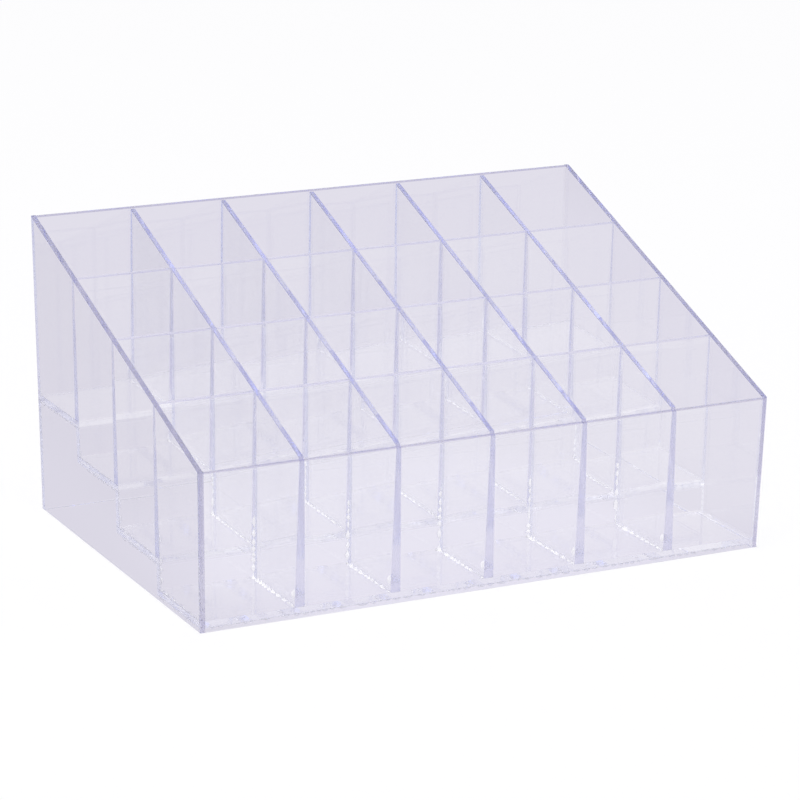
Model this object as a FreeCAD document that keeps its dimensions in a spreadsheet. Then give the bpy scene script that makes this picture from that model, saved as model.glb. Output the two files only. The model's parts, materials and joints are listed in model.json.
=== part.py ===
import FreeCAD, Part
import os

import Sketcher

# Clear stepped organiser with twenty-four upright cells, six across and four deep.
# It is a box of four outer panels, a floor of four steps, and an egg-crate of
# three row dividers and five column dividers.
#
# Frame: the base rests on Z = 0, the front faces -Y, and the origin is the
# middle of the base.
#
# Every face that rises leans by one small draft angle, so a piece is either a
# drafted slab, or an outline cut out of a drafted slab.

# How many cells there are, and what each step of the floor is called.
COLUMN_COUNT = 6
STEP_NAMES = ("first_step", "second_step", "third_step")
ROW_COUNT = len(STEP_NAMES) + 1

# Driving sizes in millimetres, and the draft in degrees.
SIZES = {
    "cell_pitch": 23.5,  # middle of one divider to the middle of the next, both ways
    "column_count": COLUMN_COUNT,
    "row_count": ROW_COUNT,
    "front_height": 36.7,
    "back_height": 72.2,
    "wall": 1.25,  # outer panels
    "divider_edge": 1.1,  # a divider's top edge, its thinnest place
    "draft_angle": 1.05,  # how far each rising face leans from upright
    "foot_rim": 1.0,  # the front step's underside above the table
    "floor_thickness": 1.5,
    "riser_wall": 1.8,
    "first_step": 7.5,  # rise from the front cells' floor to the next
    "second_step": 10.1,
    "third_step": 8.6,
    "slot_clearance": 0.05,  # between a slot and the divider in it
    "overrun": 2.0,  # how far a cutting slab reaches past what it trims
}

doc = FreeCAD.newDocument("stepped_organiser")
sheet = doc.addObject("Spreadsheet::Sheet", "Sizes")
for row, (alias, value) in enumerate(SIZES.items(), start=1):
    sheet.set(f"A{row}", alias)
    sheet.set(f"B{row}", str(value))
    sheet.setAlias(f"B{row}", alias)
doc.recompute()

# Places that several pieces share, worked out from the driving sizes.
layout = doc.addObject("App::VarSet", "Layout")


def work_out(name, expression):
    """Adds a place to the layout and returns the name that expressions use."""
    layout.addProperty("App::PropertyFloat", name, "Layout")
    layout.setExpression(name, expression)
    doc.recompute()
    return f"Layout.{name}"


def number(expression):
    """The present value of an expression, as a plain number."""
    return float(layout.evalExpression(expression))


LEAN = work_out("lean", "tan(Sizes.draft_angle * 1deg)")
BASE_HALF_WIDTH = work_out(
    "base_half_width", "(Sizes.column_count * Sizes.cell_pitch + Sizes.wall) / 2"
)
BASE_HALF_DEPTH = work_out(
    "base_half_depth", "(Sizes.row_count * Sizes.cell_pitch + Sizes.wall) / 2"
)


def outer_width(up):
    """Half the width over the side panels at a height."""
    return f"({BASE_HALF_WIDTH} + {LEAN} * ({up}))"


def inner_width(up):
    """Half the width between the side panels at a height."""
    return f"({outer_width(up)} - Sizes.wall)"


def outer_depth(up):
    """Half the depth over the front and back panels at a height."""
    return f"({BASE_HALF_DEPTH} + {LEAN} * ({up}))"


def inner_depth(up):
    """Half the depth between the front and back panels at a height."""
    return f"({outer_depth(up)} - Sizes.wall)"


SLANT = work_out(
    "slant",
    "(Sizes.back_height - Sizes.front_height) / "
    f"({outer_depth('Sizes.front_height')} + {outer_depth('Sizes.back_height')})",
)


def top_at(along):
    """Height of the slanted top at a distance behind the middle."""
    return f"(Sizes.front_height + {SLANT} * ({outer_depth('Sizes.front_height')} + ({along})))"


# The four floors, counted from the front: the height of each one's upper face.
FLOOR_TOPS = [work_out("floor_top_1", "Sizes.foot_rim + Sizes.floor_thickness")]
for step in STEP_NAMES:
    FLOOR_TOPS.append(
        work_out(f"floor_top_{len(FLOOR_TOPS) + 1}", f"{FLOOR_TOPS[-1]} + Sizes.{step}")
    )

# The dividers' middles, the row dividers' top edges, and the height at which a
# row divider's slots end and the column dividers' slots begin.
COLUMN_PLACES = [
    work_out(f"column_{index}", f"({index} - Sizes.column_count / 2) * Sizes.cell_pitch")
    for index in range(1, COLUMN_COUNT)
]
ROW_PLACES = []
ROW_TOPS = []
SLOT_ENDS = []
for index in range(1, ROW_COUNT):
    place = work_out(f"row_{index}", f"({index} - Sizes.row_count / 2) * Sizes.cell_pitch")
    top = work_out(f"row_top_{index}", top_at(place))
    ROW_PLACES.append(place)
    ROW_TOPS.append(top)
    SLOT_ENDS.append(work_out(f"slot_end_{index}", f"({top} + {FLOOR_TOPS[index]}) / 2"))


def divider_half(top, up):
    """Half a divider's thickness at a height, below its top edge."""
    return f"(Sizes.divider_edge / 2 + {LEAN} * ({top} - ({up})))"


def row_front(index, up):
    """The front face of a row divider and of the riser below it."""
    return f"({ROW_PLACES[index]} - {divider_half(ROW_TOPS[index], up)})"


def row_back(index, up):
    """The back face of a row divider."""
    return f"({ROW_PLACES[index]} + {divider_half(ROW_TOPS[index], up)})"


def riser_back(index, up):
    """The back face of a riser, and of the floor that it stands on."""
    return f"({row_front(index, up)} + Sizes.riser_wall)"


nodes = []


def slab(name, low, high, left, right, front, back):
    """A drafted slab from one height to another.

    The last four arguments are functions that give the expression of that side
    at a height.
    """
    made = doc.addObject("Part::Wedge", name)
    made.Placement = FreeCAD.Placement(
        FreeCAD.Vector(), FreeCAD.Rotation(FreeCAD.Vector(1, 0, 0), 90)
    )
    made.setExpression("Ymin", low)
    made.setExpression("Ymax", high)
    made.setExpression("Xmin", left(low))
    made.setExpression("Xmax", right(low))
    made.setExpression("X2min", left(high))
    made.setExpression("X2max", right(high))
    made.setExpression("Zmin", f"-({back(low)})")
    made.setExpression("Zmax", f"-({front(low)})")
    made.setExpression("Z2min", f"-({back(high)})")
    made.setExpression("Z2max", f"-({front(high)})")
    return made


def cross_slab(name, low, high, front, back):
    """A slab that fits between the two side panels."""
    return slab(name, low, high, lambda up: f"-{inner_width(up)}", inner_width, front, back)


def origin_plane(body, role):
    """One of a body's own origin planes."""
    for feature in body.Origin.OriginFeatures:
        if feature.Role == role:
            return feature
    raise ValueError(f"no plane {role}")


def outline(name, plane, points, thickness):
    """A body that is a closed outline padded evenly both ways.

    Each point is a pair of expressions, across and up in the plane.
    """
    body = doc.addObject("PartDesign::Body", name)
    sketch = body.newObject("Sketcher::SketchObject", f"{name}_sketch")
    sketch.AttachmentSupport = (origin_plane(body, plane), [""])
    sketch.MapMode = "FlatFace"
    corners = [FreeCAD.Vector(number(across), number(up), 0) for across, up in points]
    for index, corner in enumerate(corners):
        following = corners[(index + 1) % len(corners)]
        sketch.addGeometry(Part.LineSegment(corner, following), False)
    for index in range(len(corners)):
        following = (index + 1) % len(corners)
        sketch.addConstraint(Sketcher.Constraint("Coincident", index, 2, following, 1))
    for index, (across, up) in enumerate(points):
        for kind, expression in (("DistanceX", across), ("DistanceY", up)):
            place = Sketcher.Constraint(kind, -1, 1, index, 1, number(expression))
            sketch.setExpression(f"Constraints[{sketch.addConstraint(place)}]", expression)
    pad = body.newObject("PartDesign::Pad", f"{name}_pad")
    pad.Profile = sketch
    pad.SideType = "Symmetric"
    pad.setExpression("Length", thickness)
    body.Tip = pad
    return body


def overlap(name, first, second):
    """The node that is what two solids share."""
    made = doc.addObject("Part::Common", name)
    made.Base = first
    made.Tool = second
    return made


def keep(name, made):
    """Takes a finished object as one node of the part."""
    made.Label = name
    nodes.append(made)


def panels():
    """The four outer panels. The front and back panels stand between the sides."""
    reach = f"({outer_depth('Sizes.back_height')} + Sizes.overrun)"
    side = outline(
        "side_outline",
        "YZ_Plane",
        [
            (f"-{outer_depth('0')}", "0"),
            (outer_depth("0"), "0"),
            (outer_depth("Sizes.back_height"), "Sizes.back_height"),
            (f"-{outer_depth('Sizes.front_height')}", "Sizes.front_height"),
        ],
        f"2 * ({outer_width('Sizes.back_height')} + Sizes.overrun)",
    )
    edges = {
        "left_side_panel": (
            lambda up: f"-{outer_width(up)}",
            lambda up: f"-{inner_width(up)}",
        ),
        "right_side_panel": (inner_width, outer_width),
    }
    for name, (left, right) in edges.items():
        side_slab = slab(
            f"{name}_slab",
            "0",
            "Sizes.back_height",
            left,
            right,
            lambda up: f"-{reach}",
            lambda up: reach,
        )
        keep(name, overlap(f"{name}_common", side, side_slab))
    keep(
        "front_panel",
        cross_slab(
            "front_slab",
            "0",
            "Sizes.front_height",
            lambda up: f"-{outer_depth(up)}",
            lambda up: f"-{inner_depth(up)}",
        ),
    )
    keep(
        "back_panel",
        cross_slab("back_slab", "0", "Sizes.back_height", inner_depth, outer_depth),
    )


def floors_and_risers():
    """The stepped floor: four floors, and three risers that stand between them."""
    last = ROW_COUNT - 1
    for index, top in enumerate(FLOOR_TOPS):

        def front(up, index=index):
            if index == 0:
                return f"-{inner_depth(up)}"
            return row_front(index - 1, up)

        def back(up, index=index):
            if index == last:
                return inner_depth(up)
            return riser_back(index, up)

        underside = f"({top} - Sizes.floor_thickness)"
        keep(
            f"floor_{index + 1}",
            cross_slab(f"floor_slab_{index + 1}", underside, top, front, back),
        )
    for index in range(last):
        keep(
            f"riser_{index + 1}",
            cross_slab(
                f"riser_slab_{index + 1}",
                FLOOR_TOPS[index],
                f"({FLOOR_TOPS[index + 1]} - Sizes.floor_thickness)",
                lambda up, index=index: row_front(index, up),
                lambda up, index=index: riser_back(index, up),
            ),
        )


def row_dividers():
    """Three dividers that run from side to side, slotted from above."""
    for index in range(ROW_COUNT - 1):
        top = ROW_TOPS[index]
        foot = FLOOR_TOPS[index + 1]
        slot_end = SLOT_ENDS[index]
        points = [(f"-{inner_width(foot)}", foot), (inner_width(foot), foot)]
        points.append((inner_width(top), top))
        for middle in reversed(COLUMN_PLACES):
            for sign, up in (("+", top), ("+", slot_end), ("-", slot_end), ("-", top)):
                half_slot = f"({divider_half(top, up)} + Sizes.slot_clearance)"
                points.append((f"({middle} {sign} {half_slot})", up))
        points.append((f"-{inner_width(top)}", top))
        name = f"row_divider_{index + 1}"
        width = f"2 * ({BASE_HALF_DEPTH} + Sizes.overrun)"
        face = outline(f"{name}_outline", "XZ_Plane", points, width)
        reach = f"({outer_width('Sizes.back_height')} + Sizes.overrun)"
        thickness = slab(
            f"{name}_slab",
            foot,
            top,
            lambda up, reach=reach: f"-{reach}",
            lambda up, reach=reach: reach,
            lambda up, index=index: row_front(index, up),
            lambda up, index=index: row_back(index, up),
        )
        keep(name, overlap(f"{name}_common", face, thickness))


def column_dividers():
    """Five dividers that run from front to back, stepped below and slotted from below."""
    high = "Sizes.back_height"
    points = [
        (inner_depth(FLOOR_TOPS[-1]), FLOOR_TOPS[-1]),
        (inner_depth(high), high),
        (f"-{inner_depth(high)}", high),
        (f"-{inner_depth(FLOOR_TOPS[0])}", FLOOR_TOPS[0]),
    ]
    for index in range(ROW_COUNT - 1):
        low = FLOOR_TOPS[index]
        foot = FLOOR_TOPS[index + 1]
        slot_end = SLOT_ENDS[index]
        points += [
            (f"({row_front(index, low)} - Sizes.slot_clearance)", low),
            (f"({row_front(index, slot_end)} - Sizes.slot_clearance)", slot_end),
            (f"({row_back(index, slot_end)} + Sizes.slot_clearance)", slot_end),
            (f"({row_back(index, foot)} + Sizes.slot_clearance)", foot),
        ]
    across = f"2 * ({outer_width(high)} + Sizes.overrun)"
    profile = outline("column_outline", "YZ_Plane", points, across)

    # The slab lies with its thin edge along the slanted top, and thickens with
    # its depth below it.
    deep = work_out("slab_depth", "Sizes.back_height + Sizes.overrun")
    reach = work_out("slab_reach", f"2 * {outer_depth(high)}")
    foot_half = f"(Sizes.divider_edge / 2 + {LEAN} * {deep} / cos(atan({SLANT})))"
    for index, middle in enumerate(COLUMN_PLACES, start=1):
        name = f"column_divider_{index}"
        thickness = doc.addObject("Part::Wedge", f"{name}_slab")
        thickness.Placement = FreeCAD.Placement(
            FreeCAD.Vector(), FreeCAD.Rotation(FreeCAD.Vector(1, 0, 0), 90)
        )
        thickness.setExpression("Placement.Base.x", middle)
        thickness.setExpression("Placement.Base.z", top_at("0"))
        thickness.setExpression("Placement.Rotation.Angle", f"90deg + atan({SLANT})")
        thickness.setExpression("Ymin", f"-{deep}")
        thickness.Ymax = 0
        thickness.setExpression("Xmin", f"-{foot_half}")
        thickness.setExpression("Xmax", foot_half)
        thickness.setExpression("X2min", "-Sizes.divider_edge / 2")
        thickness.setExpression("X2max", "Sizes.divider_edge / 2")
        for side, sign in (("Zmin", "-"), ("Zmax", ""), ("Z2min", "-"), ("Z2max", "")):
            thickness.setExpression(side, f"{sign}{reach}")
        keep(name, overlap(f"{name}_common", profile, thickness))


panels()
floors_and_risers()
row_dividers()
column_dividers()
doc.recompute()

# Nothing is written unless every object is sound.
faults = [
    item.Name
    for item in doc.Objects
    if "Invalid" in item.State or "Error" in item.State
]
for made in nodes:
    shape = made.Shape
    if shape.isNull() or not shape.isValid() or len(shape.Solids) != 1:
        faults.append(made.Label)
if faults:
    raise RuntimeError(f"these objects failed: {faults}")

os.makedirs("parts", exist_ok=True)
for made in nodes:
    made.Shape.exportStep(os.path.join("parts", f"{made.Label}.step"))
    print(f"{made.Label}: {made.Shape.Volume / 1000:.2f} cm3")
print(f"{len(nodes)} nodes")
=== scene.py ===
"""Looks of a clear stepped organiser with twenty-four upright cells.

Every wall starts as a merged copy of its construction piece, so it stands where
that piece stands. The copy gets rounded edges and a satin rim. The seams
between the walls get the uneven beads that the welding of the plastic leaves.
"""

from __future__ import annotations

import json
import logging
import math
from dataclasses import dataclass
from enum import Enum
from typing import Any, Iterable, Sequence

import bmesh
import bpy
from mathutils import Matrix, Vector, noise
from mathutils.bvhtree import BVHTree

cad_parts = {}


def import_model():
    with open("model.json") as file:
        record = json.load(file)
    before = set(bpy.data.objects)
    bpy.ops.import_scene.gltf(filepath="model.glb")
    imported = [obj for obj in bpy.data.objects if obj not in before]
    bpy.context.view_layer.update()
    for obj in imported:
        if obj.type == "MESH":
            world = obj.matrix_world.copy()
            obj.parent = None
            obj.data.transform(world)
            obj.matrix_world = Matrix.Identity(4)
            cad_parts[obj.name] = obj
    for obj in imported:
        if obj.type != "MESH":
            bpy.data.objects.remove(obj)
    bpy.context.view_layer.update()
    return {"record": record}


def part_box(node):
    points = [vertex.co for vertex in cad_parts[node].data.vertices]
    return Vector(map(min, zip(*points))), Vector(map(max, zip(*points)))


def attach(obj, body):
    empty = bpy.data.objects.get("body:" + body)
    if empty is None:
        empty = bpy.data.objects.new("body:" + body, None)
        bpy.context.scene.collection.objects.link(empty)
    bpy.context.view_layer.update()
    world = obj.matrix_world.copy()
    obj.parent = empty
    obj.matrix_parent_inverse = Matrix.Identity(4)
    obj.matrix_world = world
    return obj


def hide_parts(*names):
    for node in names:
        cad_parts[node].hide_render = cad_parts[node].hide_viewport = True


MM = 0.001
BODY = "root"
WHITE = (1.0, 1.0, 1.0, 1.0)
# The roughness of a satin face, at its smoothest and at its dullest spots.
SATIN = (0.1, 0.2)
MERGE_DISTANCE = 0.001 * MM
FLAT_ANGLE = math.radians(0.2)
# A ray meets dozens of clear faces before it leaves the part.
CLEAR_BOUNCES = 128
DIFFUSE_BOUNCES = 4

log = logging.getLogger("organiser")


class Side(Enum):
    """The two ends of an axis, and the way out of the part there."""

    LOW = -1
    HIGH = 1


def linear(colour: str) -> tuple[float, float, float, float]:
    """Turns an sRGB hex colour into linear light.

    Args:
        colour: six hex digits after a hash.

    Returns:
        Red, green, blue and an alpha of 1.
    """
    digits = colour.lstrip("#")
    shares = [int(digits[i : i + 2], 16) / 255 for i in (0, 2, 4)]
    red, green, blue = (
        share / 12.92 if share <= 0.04045 else ((share + 0.055) / 1.055) ** 2.4
        for share in shares
    )
    return (red, green, blue, 1.0)


def add_node(
    tree: bpy.types.NodeTree,
    kind: str,
    settings: dict[str, Any] | None = None,
    values: dict[str | int, Any] | None = None,
    links: dict[str | int, bpy.types.NodeSocket] | None = None,
) -> bpy.types.Node:
    """Adds a shader node and fills it in.

    Args:
        tree: the node tree that takes the node.
        kind: the node's type name.
        settings: the node's own options.
        values: plain values of its inputs, by name or number.
        links: sockets that feed its inputs, by name or number.

    Returns:
        The new node.
    """
    made = tree.nodes.new(kind)
    for name, value in (settings or {}).items():
        setattr(made, name, value)
    for key, value in (values or {}).items():
        made.inputs[key].default_value = value
    for key, socket in (links or {}).items():
        tree.links.new(socket, made.inputs[key])
    return made


@dataclass(frozen=True)
class ClearPolystyrene:
    """Crystal polystyrene, injection moulded against polished steel.

    It is as clear as glass. One wall takes almost nothing from the light, but
    an edge shows light that has come through centimetres of plastic, so edges
    go lavender. The flow of the melt leaves faces that are wavy by microns, and
    handling leaves a faint haze in patches a few millimetres wide.
    """

    name: str
    # On the rim finishes the tint is painted shade that darkens the edges.
    tint: str = "#FFFFFF"
    ior: float = 1.59
    polish: tuple[float, float] = (0.006, 0.03)
    haze_size: float = 6 * MM
    haze_reach: tuple[float, float] = (0.35, 0.75)
    wave_size: float = 14 * MM
    wave_height: float = 0.0015 * MM
    taken_per_mm: tuple[float, float, float] = (0.0009, 0.0008, 0.0002)

    def material(self) -> bpy.types.Material:
        """Builds the shader.

        Returns:
            The material, ready to go on a piece.
        """
        made = bpy.data.materials.new(self.name)
        made.use_nodes = True
        tree = made.node_tree
        tree.nodes.clear()
        place = add_node(tree, "ShaderNodeTexCoord")
        haze = add_node(
            tree,
            "ShaderNodeTexNoise",
            values={"Scale": 1 / self.haze_size, "Detail": 3.0, "Roughness": 0.6},
            links={"Vector": place.outputs["Object"]},
        )
        roughness = add_node(
            tree,
            "ShaderNodeMapRange",
            values={
                "From Min": self.haze_reach[0],
                "From Max": self.haze_reach[1],
                "To Min": self.polish[0],
                "To Max": self.polish[1],
            },
            links={"Value": haze.outputs["Fac"]},
        )
        waves = add_node(
            tree,
            "ShaderNodeTexNoise",
            values={"Scale": 1 / self.wave_size, "Detail": 1.5, "Roughness": 0.4},
            links={"Vector": place.outputs["Object"]},
        )
        bump = add_node(
            tree,
            "ShaderNodeBump",
            values={"Strength": 1.0, "Distance": self.wave_height},
            links={"Height": waves.outputs["Fac"]},
        )
        surface = add_node(
            tree,
            "ShaderNodeBsdfPrincipled",
            values={
                "Base Color": linear(self.tint),
                "IOR": self.ior,
                "Transmission Weight": 1.0,
            },
            links={
                "Roughness": roughness.outputs["Result"],
                "Normal": bump.outputs["Normal"],
            },
        )
        most = max(self.taken_per_mm)
        inside = add_node(
            tree,
            "ShaderNodeVolumeAbsorption",
            values={
                "Color": (*(1 - taken / most for taken in self.taken_per_mm), 1.0),
                "Density": most / MM,
            },
        )
        add_node(
            tree,
            "ShaderNodeOutputMaterial",
            links={"Surface": surface.outputs[0], "Volume": inside.outputs[0]},
        )
        return made


@dataclass(frozen=True)
class PaintedGlintSeam:
    """Polystyrene painted an even, milky white for the seam beads and drops.

    The white is a painted highlight that stands for the bright glints of the clear seams.
    """

    name: str
    # The white is a painted highlight.
    tint: str = "#FFFFFF"
    ior: float = 1.59
    roughness: float = 0.35
    grain: float = 0.3 * MM
    grain_height: float = 0.004 * MM

    def material(self) -> bpy.types.Material:
        """Builds the shader.

        Returns:
            The material, ready to go on a piece.
        """
        made = bpy.data.materials.new(self.name)
        made.use_nodes = True
        tree = made.node_tree
        tree.nodes.clear()
        place = add_node(tree, "ShaderNodeTexCoord")
        crazing = add_node(
            tree,
            "ShaderNodeTexNoise",
            values={"Scale": 1 / self.grain, "Detail": 2.0},
            links={"Vector": place.outputs["Object"]},
        )
        bump = add_node(
            tree,
            "ShaderNodeBump",
            values={"Strength": 1.0, "Distance": self.grain_height},
            links={"Height": crazing.outputs["Fac"]},
        )
        surface = add_node(
            tree,
            "ShaderNodeBsdfPrincipled",
            values={
                "Base Color": linear(self.tint),
                "IOR": self.ior,
                "Roughness": self.roughness,
            },
            links={"Normal": bump.outputs["Normal"]},
        )
        add_node(tree, "ShaderNodeOutputMaterial", links={"Surface": surface.outputs[0]})
        return made


def merged_copy(node: str) -> bmesh.types.BMesh:
    """Copies a construction piece's mesh and makes it whole.

    Args:
        node: the construction piece's name.

    Returns:
        A closed mesh with one face for each flat face of the piece.
    """
    bm = bmesh.new()
    bm.from_mesh(bpy.data.objects[node].data)
    bmesh.ops.remove_doubles(bm, verts=bm.verts, dist=MERGE_DISTANCE)
    bmesh.ops.dissolve_limit(
        bm, angle_limit=FLAT_ANGLE, verts=bm.verts, edges=bm.edges
    )
    bmesh.ops.recalc_face_normals(bm, faces=bm.faces)
    bm.normal_update()
    return bm


def grow(bm: bmesh.types.BMesh, by: float) -> None:
    """Moves every face of a closed mesh outwards by the same distance.

    Args:
        bm: the mesh.
        by: the distance in metres.
    """
    bm.normal_update()
    moves = [vert.normal * vert.calc_shell_factor() * by for vert in bm.verts]
    for vert, move in zip(bm.verts, moves):
        vert.co += move


def round_edges(
    bm: bmesh.types.BMesh, edges: Iterable[bmesh.types.BMEdge], radius: float, steps: int
) -> None:
    """Rounds some edges of a mesh.

    Args:
        bm: the mesh.
        edges: the edges to round.
        radius: how far from the edge the round begins, in metres.
        steps: how many strips make the round.
    """
    bmesh.ops.bevel(
        bm,
        geom=list(edges),
        offset=radius,
        offset_type="OFFSET",
        affect="EDGES",
        segments=steps,
        profile=0.5,
        material=-1,
        clamp_overlap=True,
    )
    bm.normal_update()


def into_piece(
    bm: bmesh.types.BMesh,
    name: str,
    finishes: Sequence[bpy.types.Material],
    nodes: Sequence[str] = (),
) -> bpy.types.Object:
    """Makes a finished piece of a mesh.

    Args:
        bm: the mesh, which is freed.
        name: the piece's name.
        finishes: its materials, in the order of its faces' numbers.
        nodes: the construction pieces that it stands for.

    Returns:
        The new object, at the origin, riding with the part.
    """
    mesh = bpy.data.meshes.new(name)
    bm.to_mesh(mesh)
    bm.free()
    for finish in finishes:
        mesh.materials.append(finish)
    piece = bpy.data.objects.new(name, mesh)
    bpy.context.scene.collection.objects.link(piece)
    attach(piece, BODY)
    if nodes:
        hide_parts(*nodes)
    log.info("%s: %d faces", name, len(mesh.polygons))
    return piece


@dataclass
class Walls:
    """The moulded walls: outer panels, floors, risers and dividers.

    The shares are parts of a face's normal: how far it looks up, or along the
    wall, before it counts as a rim or as an end.
    """

    clear: bpy.types.Material
    rim: bpy.types.Material
    # The side rim, end rim, joint and slot finishes carry painted shade in their tints.
    side_rim: bpy.types.Material
    end_rim: bpy.types.Material
    joint: bpy.types.Material
    slot: bpy.types.Material
    weld: float = 0.03 * MM
    rim_round: float = 0.16 * MM
    cross_rim_round: float = 0.3 * MM
    corner_round: float = 0.45 * MM
    foot_round: float = 0.3 * MM
    flat: float = 0.05 * MM
    rim_steps: int = 3
    corner_steps: int = 4
    foot_steps: int = 8
    rim_length: float = 3 * MM
    corner_length: float = 10 * MM
    corner_run: float = 3 * MM
    corner_angle: float = math.radians(60)
    rim_share: float = 0.1
    level_share: float = 0.8
    end_share: float = 0.7

    def finish_ends(self, bm: bmesh.types.BMesh, *ways: Vector) -> None:
        """Numbers the thin faces of a wall, for a finish of their own.

        The faces that look up get number 1, and those that look each of the
        ways get the next numbers. The others keep 0.

        Args:
            bm: the mesh of one wall.
            ways: directions to look in.
        """
        for face in bm.faces:
            if face.normal.z > self.rim_share:
                face.material_index = 1
            for number, way in enumerate(ways, start=2):
                if face.normal.dot(way) > self.end_share:
                    face.material_index = number

    def top_edges(self, bm: bmesh.types.BMesh) -> list[bmesh.types.BMEdge]:
        """Finds the long edges of the faces that look up.

        Args:
            bm: the mesh of one wall.

        Returns:
            The edges between its top and its sides.
        """
        return [
            edge
            for edge in bm.edges
            if edge.calc_length() > self.rim_length
            and sum(face.normal.z > self.level_share for face in edge.link_faces) == 1
        ]

    def side_panel(self, node: str, side: Side) -> None:
        """Builds one side panel, round at its foot and its outer corners.

        Args:
            node: the construction piece.
            side: the side of the part that it closes.
        """
        bm = merged_copy(node)
        low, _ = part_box(node)
        foot_x = max(side.value * v.co.x for v in bm.verts if v.co.z < low[2] + self.flat)
        foot = [
            edge
            for edge in bm.edges
            if all(vert.co.z < low[2] + self.flat for vert in edge.verts)
            and max(side.value * vert.co.x for vert in edge.verts) > foot_x - self.flat
        ]
        round_edges(bm, foot, self.foot_round, self.foot_steps)
        corners = [
            edge
            for edge in bm.edges
            if edge.calc_length() > self.corner_length
            and abs(edge.verts[0].co.y - edge.verts[1].co.y) < self.corner_run
            and min(side.value * vert.co.x for vert in edge.verts) > foot_x - self.flat
            and edge.calc_face_angle(0) > self.corner_angle
        ]
        round_edges(bm, corners, self.corner_round, self.corner_steps)
        round_edges(bm, self.top_edges(bm), self.rim_round, self.rim_steps)
        self.finish_ends(bm, Vector((0, -1, 0)))
        finishes = [self.clear, self.side_rim, self.side_rim]
        into_piece(bm, f"moulded_{node}", finishes, [node])

    def cross_panel(self, node: str, side: Side) -> None:
        """Builds the front or the back panel, which runs into the side panels.

        Args:
            node: the construction piece.
            side: the end of the part that it closes.
        """
        bm = merged_copy(node)
        low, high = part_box(node)
        foot_y = max(side.value * v.co.y for v in bm.verts if v.co.z < low[2] + self.flat)
        foot = [
            edge
            for edge in bm.edges
            if all(vert.co.z < low[2] + self.flat for vert in edge.verts)
            and min(side.value * vert.co.y for vert in edge.verts) > foot_y - self.flat
        ]
        round_edges(bm, foot, self.foot_round, self.foot_steps)
        round_edges(bm, self.top_edges(bm), self.cross_rim_round, self.rim_steps)
        bmesh.ops.scale(bm, verts=bm.verts, vec=(1 + self.weld / high[0], 1, 1))
        self.finish_ends(bm)
        into_piece(bm, f"moulded_{node}", [self.clear, self.end_rim], [node])

    def floor(self, node: str) -> None:
        """Builds a floor or a riser, a little proud so that its joints close.

        Args:
            node: the construction piece.
        """
        bm = merged_copy(node)
        grow(bm, self.weld)
        into_piece(bm, f"moulded_{node}", [self.clear], [node])

    def divider(self, node: str) -> None:
        """Builds a divider with a rounded rim, a little proud like the floors.

        Args:
            node: the construction piece.
        """
        bm = merged_copy(node)
        column = node.startswith("column")
        rim_round = self.rim_round if column else self.cross_rim_round
        round_edges(bm, self.top_edges(bm), rim_round, self.rim_steps)
        grow(bm, self.weld)
        along = Vector((0, 1, 0)) if column else Vector((1, 0, 0))
        self.finish_ends(bm, along, -along)
        joints = [self.slot, self.joint if column else self.slot]
        into_piece(bm, f"moulded_{node}", [self.clear, self.rim, *joints], [node])

    def build(self, nodes: Iterable[str]) -> None:
        """Builds every wall.

        Args:
            nodes: the names of the construction pieces.
        """
        self.side_panel("left_side_panel", Side.LOW)
        self.side_panel("right_side_panel", Side.HIGH)
        self.cross_panel("front_panel", Side.LOW)
        self.cross_panel("back_panel", Side.HIGH)
        for node in sorted(nodes):
            if node.startswith(("floor", "riser")):
                self.floor(node)
            elif "divider" in node:
                self.divider(node)


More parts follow.
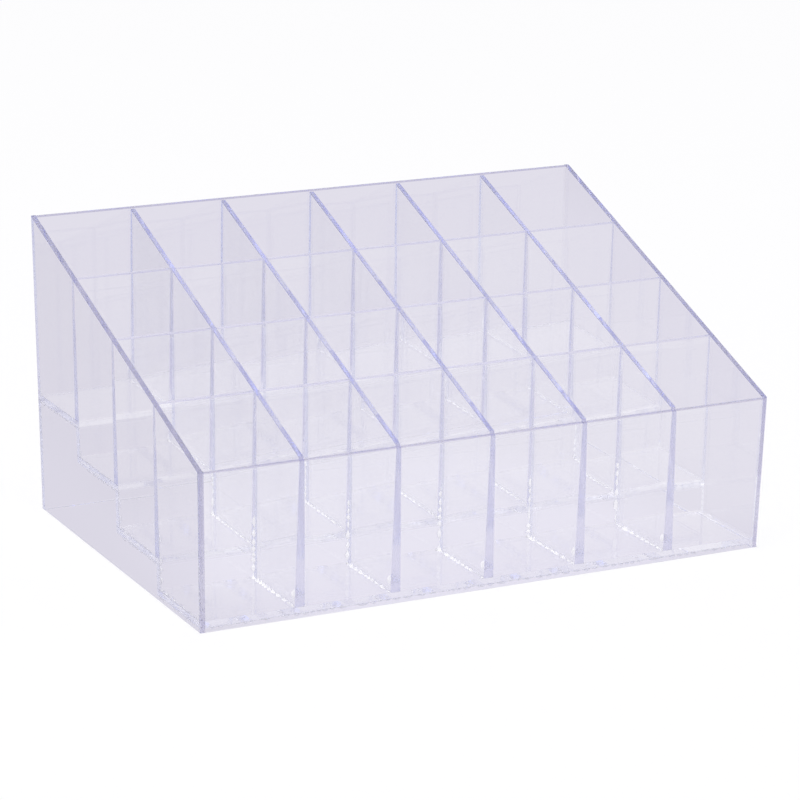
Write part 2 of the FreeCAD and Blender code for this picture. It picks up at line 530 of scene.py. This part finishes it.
@dataclass
class Seams:
    """The white beads along the welded seams, a painted highlight.

    The weld swelled the plastic unevenly, so a bead is a small fillet whose
    radius comes and goes, and it shows as a row of white dashes, painted
    highlights for the seams' glints. The front row took the most solvent, and
    each row behind it has less.
    """

    # The white of this finish is a painted highlight for the seams' glints.
    weld: bpy.types.Material
    row_shares: tuple[float, ...] = (1.0, 0.65, 0.4, 0.3)
    foot_radius: float = 0.95 * MM
    foot_fade: float = 0.55
    corner_radius: float = 0.95 * MM
    rise: float = 15.0 * MM
    rise_fade: float = 0.6
    rim_radius: float = 0.5 * MM
    rim_inset: float = 1.5 * MM
    sink: float = 0.05 * MM
    step: float = 0.3 * MM
    dash: float = 2.4 * MM
    least_share: float = 0.14
    shift_size: float = 1.5
    shift_stretch: float = 3.0
    shift_layer: float = 0.5
    dash_middle: float = 0.8
    dash_spread: float = 0.9
    dash_layer: float = 7.5
    dash_gain: float = 1.3
    seed_scale: float = 977.0
    arc_steps: int = 5
    lift: float = 0.1 * MM
    drop_size: tuple[float, float, float] = (0.85 * MM, 0.4 * MM, 1.1 * MM)
    drop_height: float = 5.5 * MM
    drop_reach: float = 10 * MM
    drop_aside: float = 1.1 * MM
    drop_segments: tuple[int, int] = (20, 12)

    def read_walls(self, nodes: Iterable[str]) -> None:
        """Gathers the construction pieces, to find the walls of each cell.

        Args:
            nodes: the names of the construction pieces.
        """
        whole = bmesh.new()
        for node in nodes:
            whole.from_mesh(bpy.data.objects[node].data)
        self.walls = BVHTree.FromBMesh(whole)
        whole.free()

    def hit(self, place: Vector, way: Vector) -> Vector:
        """Finds the wall in one direction.

        Args:
            place: a point inside a cell.
            way: the direction to look in.

        Returns:
            The point of the wall.
        """
        return self.walls.ray_cast(place, way)[0]

    def corner(self, middle: Vector, height: float, x_way: int, y_way: int) -> Vector:
        """Finds an upright corner of a cell at one height.

        Args:
            middle: the middle of the cell.
            height: the height to look at.
            x_way: -1 for its left side and 1 for its right one.
            y_way: -1 for its front and 1 for its rear.

        Returns:
            The corner's point.
        """
        near = Vector((middle.x, middle.y, height))
        y = self.hit(near, Vector((0, y_way, 0))).y
        beside = Vector((middle.x, y - y_way * self.lift, height))
        x = self.hit(beside, Vector((x_way, 0, 0))).x
        return Vector((x, y, height))

    def radius_at(self, full: float, along: float, seed: float) -> float:
        """Finds the bead's radius at one place. It comes and goes in dashes.

        One noise shifts the dashes, so that they aren't evenly spaced, and
        another makes some larger than others.

        Args:
            full: the bead's largest radius.
            along: the distance from the start of the seam.
            seed: the seam's own number.

        Returns:
            The radius in metres.
        """
        slow = Vector((along / (self.shift_stretch * self.dash), seed, self.shift_layer))
        shift = self.shift_size * noise.noise(slow)
        swell = 0.5 + 0.5 * math.cos(math.tau * (along / self.dash + shift))
        quick = Vector((along / self.dash, seed, self.dash_layer))
        size = max(0.0, self.dash_middle + self.dash_spread * noise.noise(quick))
        grown = min(1.0, self.dash_gain * swell * size)
        return full * (self.least_share + (1 - self.least_share) * grown)

    def bead(
        self,
        bm: bmesh.types.BMesh,
        start: Vector,
        end: Vector,
        away: Vector,
        up: Vector,
        full: float,
        fade: float = 1.0,
    ) -> None:
        """Lays one uneven bead along a straight seam.

        Args:
            bm: the mesh that takes it.
            start: one end of the seam.
            end: its other end.
            away: the way along the first wall, out of the corner.
            up: the way along the second wall, out of the corner.
            full: its largest radius.
            fade: the share of the radius that is left at its end.
        """
        # Unequal weights give every seam a number of its own.
        seed = self.seed_scale * (start.x + 3 * start.y + 7 * start.z + up.x)
        length = (end - start).length
        steps = max(2, round(length / self.step))
        shares = [i / steps for i in range(steps + 1)]
        places = [start.lerp(end, share) for share in shares]
        radii = [
            (1 + (fade - 1) * share) * self.radius_at(full, share * length, seed)
            for share in shares
        ]
        drawn = bmesh.new()
        turns = [math.pi / 2 * i / self.arc_steps for i in range(self.arc_steps + 1)]
        hollow = [away * (1 - math.sin(t)) + up * (1 - math.cos(t)) for t in turns]
        sunk = self.sink / full
        outline = [hollow[0] - up * sunk, *hollow, hollow[-1] - away * sunk]
        outline.append(-(away + up) * sunk)
        verts = [drawn.verts.new(start + point * radii[0]) for point in outline]
        face = drawn.faces.new(verts)
        for here, there, was, now in zip(places, places[1:], radii, radii[1:]):
            grown = bmesh.ops.extrude_face_region(drawn, geom=[face])["geom"]
            # The first section closes the bead, and the others would be inside it.
            if here != places[0]:
                bmesh.ops.delete(drawn, geom=[face], context="FACES_ONLY")
            face = next(item for item in grown if isinstance(item, bmesh.types.BMFace))
            pivot = Matrix.Translation(-here)
            bmesh.ops.scale(drawn, verts=face.verts, vec=(now / was,) * 3, space=pivot)
            bmesh.ops.translate(drawn, verts=face.verts, vec=there - here)
        bmesh.ops.recalc_face_normals(drawn, faces=drawn.faces)
        for each in drawn.faces:
            each.smooth = len(each.verts) == 4
        part = bpy.data.meshes.new("bead")
        drawn.to_mesh(part)
        drawn.free()
        bm.from_mesh(part)
        bpy.data.meshes.remove(part)

    def cell(
        self,
        bm: bmesh.types.BMesh,
        low: Vector,
        high: Vector,
        ways: Iterable[int],
        share: float,
    ) -> None:
        """Lays the beads of one cell: along the floor and up the rear corner.

        Args:
            bm: the mesh that takes them.
            low: the lowest corner of the cell's opening.
            high: its highest corner.
            ways: the sides that are welded, -1 for left and 1 for right.
            share: the size of its beads beside those of the front row.
        """
        middle = (low + high) / 2
        upward = Vector((0, 0, 1))
        floor = self.hit(middle, -upward).z
        for x_way in ways:
            rear = self.corner(middle, floor + self.lift, x_way, 1)
            front = self.corner(middle, floor + self.lift, x_way, -1)
            rear.z = front.z = floor
            top = self.corner(middle, floor + share * self.rise, x_way, 1)
            away = Vector((-x_way, 0, 0))
            foot_size, corner_size = share * self.foot_radius, share * self.corner_radius
            self.bead(bm, rear, front, away, upward, foot_size, self.foot_fade)
            inward = Vector((0, -1, 0))
            self.bead(bm, rear, top, away, inward, corner_size, self.rise_fade)

    def rim(self, bm: bmesh.types.BMesh) -> None:
        """Lays the beads under the floors, along the left and the front panel.

        Args:
            bm: the mesh that takes them.
        """
        inset = self.rim_inset
        downward, inward = Vector((0, 0, -1)), Vector((1, 0, 0))
        for row in range(1, len(self.row_shares) + 1):
            low, high = (Vector(corner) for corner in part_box(f"floor_{row}"))
            start = Vector((low.x, low.y + inset, low.z))
            end = Vector((low.x, high.y - inset, low.z))
            self.bead(bm, start, end, inward, downward, self.rim_radius)
            if row == 1:
                end = Vector((high.x - inset, low.y, low.z))
                start = Vector((low.x + inset, low.y, low.z))
                self.bead(bm, start, end, Vector((0, 1, 0)), downward, self.rim_radius)

    def drop(self, bm: bmesh.types.BMesh, node: str) -> None:
        """Puts a white drop at a divider's front foot, a painted highlight for the glint
        there.

        Args:
            bm: the mesh that takes it.
            node: the divider.
        """
        low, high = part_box(node)
        x = (low[0] + high[0]) / 2 - self.drop_aside
        behind = Vector((x, low[1] + self.drop_reach, self.drop_height))
        place = self.hit(behind, Vector((0, -1, 0)))
        place.y += self.drop_size[1]
        around, upward = self.drop_segments
        made = bmesh.ops.create_uvsphere(
            bm, u_segments=around, v_segments=upward, radius=1.0
        )
        bmesh.ops.scale(bm, verts=made["verts"], vec=self.drop_size)
        bmesh.ops.translate(bm, verts=made["verts"], vec=place)

    def cell_place(self, opening: dict[str, Any]) -> tuple[int, int]:
        """Reads where a cell is from its name, cell_row_ROW_column_COLUMN.

        Args:
            opening: the record's open cell.

        Returns:
            Its row and its column, both from 1.
        """
        _, _, row, _, column = opening["name"].split("_")
        return int(row), int(column)

    def build(self, nodes: Iterable[str], openings: Sequence[dict[str, Any]]) -> None:
        """Lays the white beads of the welded seams, one piece for each column.

        The beads go along each divider's left side and along the left panel, where the
        seams glint; their white is a painted highlight.

        Args:
            nodes: the names of the construction pieces.
            openings: the record's open cells.
        """
        self.read_walls(nodes)
        columns: dict[int, list[dict[str, Any]]] = {}
        for opening in openings:
            columns.setdefault(self.cell_place(opening)[1], []).append(opening)
        first, last = min(columns), max(columns)
        for column, cells in sorted(columns.items()):
            if column == last:
                continue
            bm = bmesh.new()
            for opening in cells:
                low, high = (Vector(corner) for corner in opening["box_m"])
                share = self.row_shares[self.cell_place(opening)[0] - 1]
                self.cell(bm, low, high, (-1, 1) if column == first else (1,), share)
            into_piece(bm, f"glint_white_beads_{column}", [self.weld])
        rim = bmesh.new()
        self.rim(rim)
        into_piece(rim, "glint_white_beads_rim", [self.weld])
        drops = bmesh.new()
        for node in sorted(nodes):
            if node.startswith("column_divider"):
                self.drop(drops, node)
        for face in drops.faces:
            face.smooth = True
        into_piece(drops, "glint_white_drops", [self.weld])


@dataclass
class Studio:
    """A pale table under soft light.

    The lens sees the table and the background white. Through the plastic and in
    its reflections the table shows painted tones, a pale lavender grey: a painted
    pool of light under the front of the part, a painted bright patch in front of
    it, and a painted shadow at its left.
    """

    # The table's tones for glossy and transmission rays: a painted pool of light, the
    # tone past it, a painted bright front and a painted shadow at the left.
    table_painted_light_pool: str = "#E6E3F1"
    table_far: str = "#DEDBE8"
    table_front_painted_light: str = "#FFFFFF"
    table_left_painted_shadow: str = "#CFCCD8"
    pool: tuple[float, float] = (45 * MM, 75 * MM)
    pool_middle: tuple[float, float, float] = (0.0, -10 * MM, 0.0)
    front: tuple[float, float] = (50 * MM, 80 * MM)
    left: tuple[float, float] = (56 * MM, 101 * MM)
    backdrop: str = "#F6F4FB"
    sky: str = "#E9E8EE"
    horizon: tuple[float, float] = (0.33, 0.46)
    floor_size: float = 6.0
    table_gap: float = 0.02 * MM
    white_share: float = 0.8
    lamp_place: tuple[float, float, float] = (-0.2, -0.2, 1.0)
    lamp_size: tuple[float, float] = (0.6, 0.6)
    lamp_power: float = 2.2

    def world(self) -> None:
        """Lights the set from all round, and shows white behind the part."""
        made = bpy.data.worlds.new("studio")
        bpy.context.scene.world = made
        made.use_nodes = True
        tree = made.node_tree
        tree.nodes.clear()
        way = add_node(tree, "ShaderNodeTexCoord")
        split = add_node(
            tree, "ShaderNodeSeparateXYZ", links={"Vector": way.outputs["Generated"]}
        )
        rise = add_node(
            tree,
            "ShaderNodeMapRange",
            {"interpolation_type": "SMOOTHSTEP"},
            {"From Min": self.horizon[0], "From Max": self.horizon[1]},
            {"Value": split.outputs["Z"]},
        )
        sweep = add_node(
            tree,
            "ShaderNodeMix",
            {"data_type": "RGBA"},
            {6: linear(self.backdrop), 7: linear(self.sky)},
            {0: rise.outputs[0]},
        )
        seen = add_node(tree, "ShaderNodeLightPath")
        shown = add_node(
            tree,
            "ShaderNodeMix",
            {"data_type": "RGBA"},
            {7: WHITE},
            {0: seen.outputs["Is Camera Ray"], 6: sweep.outputs[2]},
        )
        light = add_node(
            tree,
            "ShaderNodeBackground",
            values={"Strength": 1.0},
            links={"Color": shown.outputs[2]},
        )
        add_node(tree, "ShaderNodeOutputWorld", links={"Surface": light.outputs[0]})

    def table_paint(self) -> bpy.types.Material:
        """Mixes the matt table top, with painted light and shade in its tones.

        Returns:
            The table's material.
        """
        made = bpy.data.materials.new("matt_table")
        made.use_nodes = True
        tree = made.node_tree
        tree.nodes.clear()
        place = add_node(tree, "ShaderNodeTexCoord")
        split = add_node(
            tree, "ShaderNodeSeparateXYZ", links={"Vector": place.outputs["Object"]}
        )
        distance = add_node(
            tree,
            "ShaderNodeVectorMath",
            {"operation": "DISTANCE"},
            {1: self.pool_middle},
            {0: place.outputs["Object"]},
        )
        tone: bpy.types.NodeSocket | None = None
        # Painted light and shade: the pool of light, the bright front and the shadow at
        # the left.
        for socket, limits, way, colour in (
            (distance.outputs["Value"], self.pool, 1, self.table_far),
            (split.outputs["Y"], self.front, -1, self.table_front_painted_light),
            (split.outputs["X"], self.left, -1, self.table_left_painted_shadow),
        ):
            reached = add_node(
                tree,
                "ShaderNodeMapRange",
                {"interpolation_type": "SMOOTHSTEP"},
                {"From Min": way * limits[0], "From Max": way * limits[1]},
                {"Value": socket},
            )
            mixed = add_node(
                tree,
                "ShaderNodeMix",
                {"data_type": "RGBA"},
                {6: linear(self.table_painted_light_pool), 7: linear(colour)},
                {0: reached.outputs[0], **({6: tone} if tone else {})},
            )
            tone = mixed.outputs[2]
        seen = add_node(tree, "ShaderNodeLightPath")
        through = add_node(
            tree,
            "ShaderNodeMath",
            {"operation": "MAXIMUM"},
            links={
                0: seen.outputs["Is Glossy Ray"],
                1: seen.outputs["Is Transmission Ray"],
            },
        )
        paint = add_node(tree, "ShaderNodeBsdfDiffuse", values={"Color": WHITE})
        pale = add_node(
            tree,
            "ShaderNodeEmission",
            values={"Strength": 1.0},
            links={"Color": tone},
        )
        first = add_node(
            tree,
            "ShaderNodeMixShader",
            links={0: through.outputs[0], 1: paint.outputs[0], 2: pale.outputs[0]},
        )
        white = add_node(
            tree, "ShaderNodeEmission", values={"Color": WHITE, "Strength": 1.0}
        )
        share = add_node(
            tree,
            "ShaderNodeMath",
            {"operation": "MULTIPLY"},
            {1: self.white_share},
            {0: seen.outputs["Is Camera Ray"]},
        )
        last = add_node(
            tree,
            "ShaderNodeMixShader",
            links={0: share.outputs[0], 1: first.outputs[0], 2: white.outputs[0]},
        )
        add_node(tree, "ShaderNodeOutputMaterial", links={"Surface": last.outputs[0]})
        return made

    def table(self) -> None:
        """Lays the table top just under the part."""
        bm = bmesh.new()
        bmesh.ops.create_grid(bm, x_segments=1, y_segments=1, size=self.floor_size / 2)
        bmesh.ops.translate(bm, verts=bm.verts, vec=(0, 0, -self.table_gap))
        mesh = bpy.data.meshes.new("table_top")
        bm.to_mesh(mesh)
        bm.free()
        mesh.materials.append(self.table_paint())
        top = bpy.data.objects.new("table_top", mesh)
        bpy.context.scene.collection.objects.link(top)

    def softbox(
        self, name: str, place: Sequence[float], size: tuple[float, float], power: float
    ) -> None:
        """Hangs one softbox that faces the part.

        Args:
            name: the lamp's name.
            place: where it hangs, in metres.
            size: its width and height in metres.
            power: its power in watts.
        """
        data = bpy.data.lights.new(name, "AREA")
        data.shape = "RECTANGLE"
        data.size, data.size_y = size
        data.energy = power
        box = bpy.data.objects.new(name, data)
        bpy.context.scene.collection.objects.link(box)
        box.location = place
        box.rotation_euler = (-Vector(place)).to_track_quat("-Z", "Y").to_euler()

    def build(self) -> None:
        """Sets up the world, the table and the lamp."""
        self.world()
        self.table()
        self.softbox("overhead_softbox", self.lamp_place, self.lamp_size, self.lamp_power)


@dataclass
class Lens:
    """The camera, placed where the photograph was taken."""

    azimuth: float = -26.9359
    elevation: float = 16.345
    roll: float = 0.8999
    distance: float = 799.92 * MM
    target_height: float = 30.0 * MM
    shift_right: float = 0.7183 * MM
    shift_up: float = 1.5888 * MM
    focal_pixels: float = 3400.13
    frame_pixels: float = 800.0
    sensor: float = 36.0
    clip_start: float = 0.01

    def build(self) -> None:
        """Makes the camera and looks through it."""
        turn, tilt, lean = map(math.radians, (self.azimuth, self.elevation, self.roll))
        back = Vector(
            (
                math.sin(turn) * math.cos(tilt),
                -math.cos(turn) * math.cos(tilt),
                math.sin(tilt),
            )
        )
        level = Vector((math.cos(turn), math.sin(turn), 0.0))
        rise = back.cross(level)
        right = math.cos(lean) * level + math.sin(lean) * rise
        up = math.cos(lean) * rise - math.sin(lean) * level
        target = (
            Vector((0.0, 0.0, self.target_height))
            + right * self.shift_right
            + up * self.shift_up
        )
        data = bpy.data.cameras.new("lens")
        data.sensor_width = self.sensor
        data.lens = self.focal_pixels / self.frame_pixels * self.sensor
        data.clip_start = self.clip_start
        camera = bpy.data.objects.new("lens", data)
        bpy.context.scene.collection.objects.link(camera)
        turned = Matrix((right, up, back)).transposed().to_4x4()
        camera.matrix_world = Matrix.Translation(target + back * self.distance) @ turned
        bpy.context.scene.camera = camera


def main() -> None:
    """Builds the part's looks, the set and the camera."""
    logging.basicConfig(level=logging.INFO, format="%(message)s")
    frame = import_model()
    record = frame["record"]
    nodes = [subpart["node"] for subpart in record["subparts"]]
    scene = bpy.context.scene
    scene.view_settings.view_transform = "Standard"
    scene.cycles.max_bounces = CLEAR_BOUNCES
    scene.cycles.transmission_bounces = CLEAR_BOUNCES
    scene.cycles.glossy_bounces = CLEAR_BOUNCES
    scene.cycles.diffuse_bounces = DIFFUSE_BOUNCES
    # The filter on glossy rays darkens the white beads behind the clear walls.
    scene.cycles.blur_glossy = 0.0
    Lens().build()
    Studio().build()
    clear = ClearPolystyrene("injection_moulded_crystal_polystyrene").material()
    rim, side_rim, end_rim, joint, slot = (
        ClearPolystyrene(name, tint, polish=SATIN).material()
        for name, tint in (
            # The dividers' tops go lavender from the plastic alone.
            ("satin_moulded_polystyrene_rim", "#FFFDFE"),
            # The side panels' slants and front edges are the darkest lines, painted shade
            # in their tint.
            ("satin_polystyrene_side_rim_painted_shade", "#D3CEDC"),
            # The tops of the front and back panels are a little less dark, painted shade
            # in their tint.
            ("satin_polystyrene_end_rim_painted_shade", "#DED9E0"),
            # A column divider's front end is a soft band behind the front panel, darkened
            # by painted shade in its tint.
            ("satin_polystyrene_joint_painted_shade", "#E9E8F4"),
            # Its rear end, the row dividers' ends and the slots barely darken, a faint
            # painted shade in their tint.
            ("satin_polystyrene_slot_painted_shade", "#F8F8FC"),
        )
    )
    Walls(clear, rim, side_rim, end_rim, joint, slot).build(nodes)
    # The beads' white is a painted highlight for the glints of the seams.
    weld = PaintedGlintSeam("seam_white_painted_glint").material()
    Seams(weld).build(nodes, record["physics"]["openings"])


if __name__ == "__main__":
    main()
